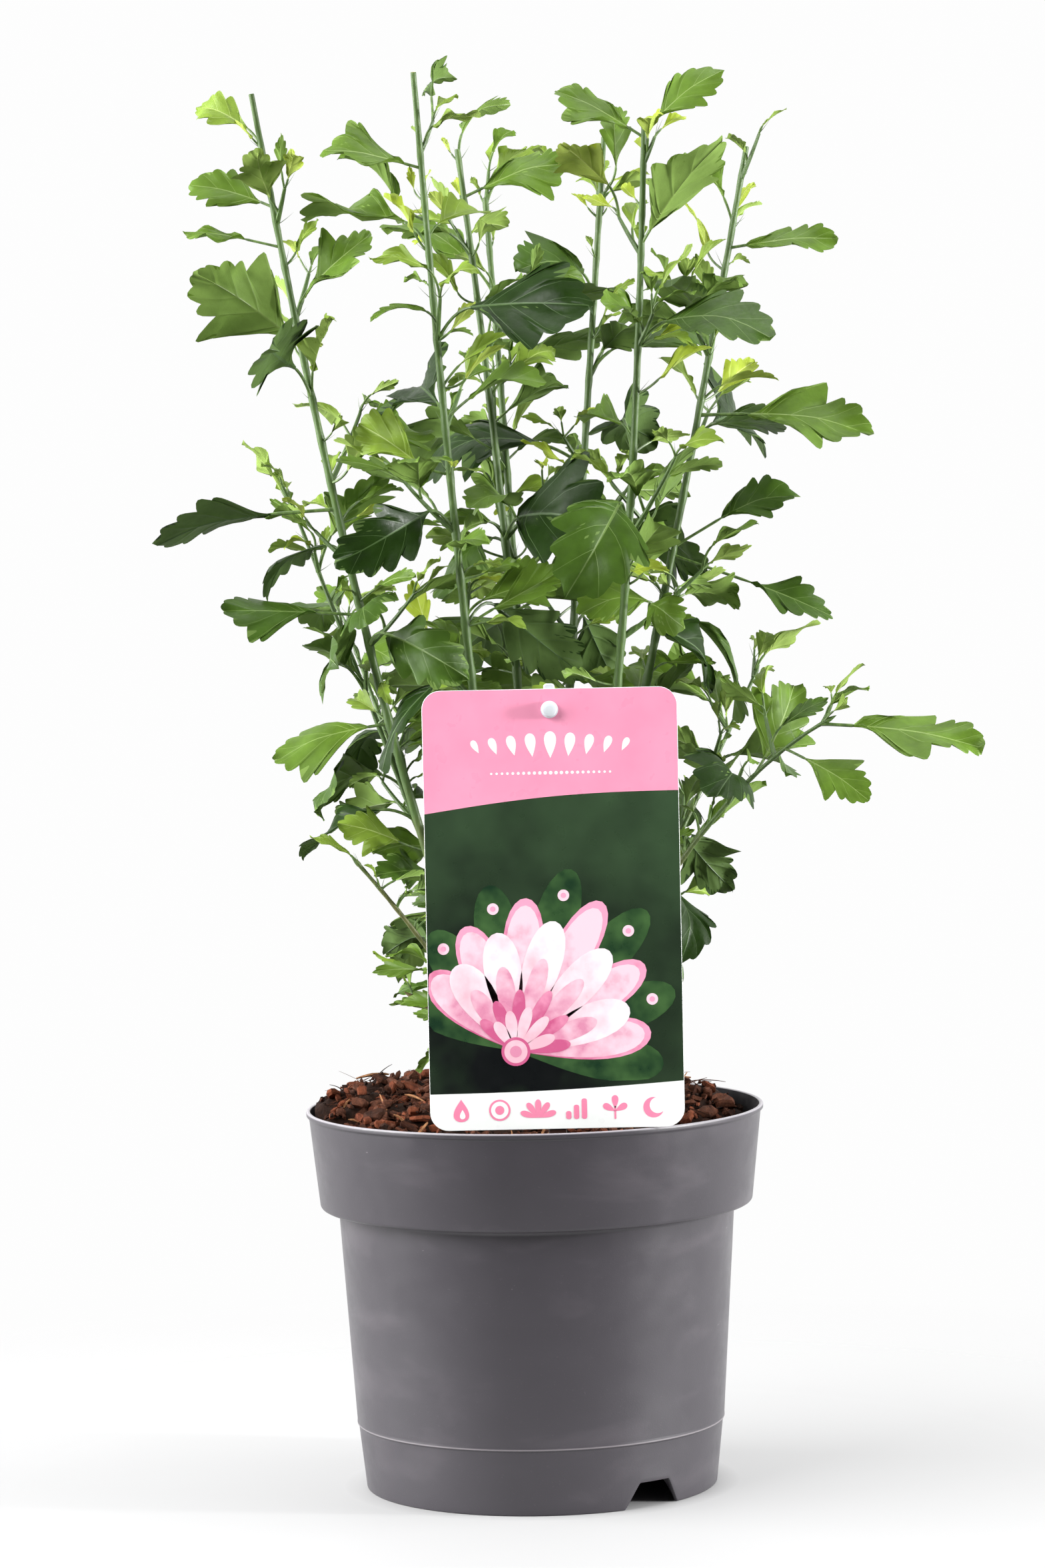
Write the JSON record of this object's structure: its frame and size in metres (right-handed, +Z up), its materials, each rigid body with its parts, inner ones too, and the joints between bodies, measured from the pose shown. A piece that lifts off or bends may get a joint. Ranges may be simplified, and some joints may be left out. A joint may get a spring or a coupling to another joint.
{
  "type": "potted hibiscus shrub",
  "caption": "Young leafy shrub with several upright pruned canes in a round plastic nursery pot of bark compost, with an upright plant label standing inside the rim.",
  "frame": {"origin": "middle of the part's box, on the surface that the pot stands on", "axes": "+Z up, -Y towards the side where the label stands, +X to the label reader's right"},
  "size_m": [0.41, 0.2732, 0.7056],
  "materials": {
    "pot": "satin dark grey moulded plastic",
    "compost": "moist reddish-brown bark and peat",
    "stock": "young brown-grey bark",
    "cane": "smooth green stems, browner at the foot",
    "foliage": "satin green lobed leaves, lighter below",
    "label": "glossy printed card, pink, dark green and white",
    "stick": "smooth white plastic"
  },
  "bodies": {
    "root": {"pot": "pot", "compost": "compost", "label_card": "label", "label_stick": "stick", "trunk": "stock", "cane_left": "cane", "cane_front_left": "cane", "cane_middle": "cane", "cane_back": "cane", "cane_back_right": "cane", "cane_front_right": "cane", "cane_right": "cane", "cane_low_left": "cane", "cane_low_right": "cane", "cane_low_front": "cane", "cane_low_side": "cane", "cane_low_back_right": "cane", "cane_low_back_left": "cane", "cane_low_back": "cane", "foliage_left": "foliage", "foliage_front_left": "foliage", "foliage_middle": "foliage", "foliage_back": "foliage", "foliage_back_right": "foliage", "foliage_front_right": "foliage", "foliage_right": "foliage", "foliage_low_left": "foliage", "foliage_low_right": "foliage", "foliage_low_front": "foliage", "foliage_low_side": "foliage", "foliage_low_back_right": "foliage", "foliage_low_back_left": "foliage", "foliage_low_back": "foliage"}
  },
  "joints": []
}
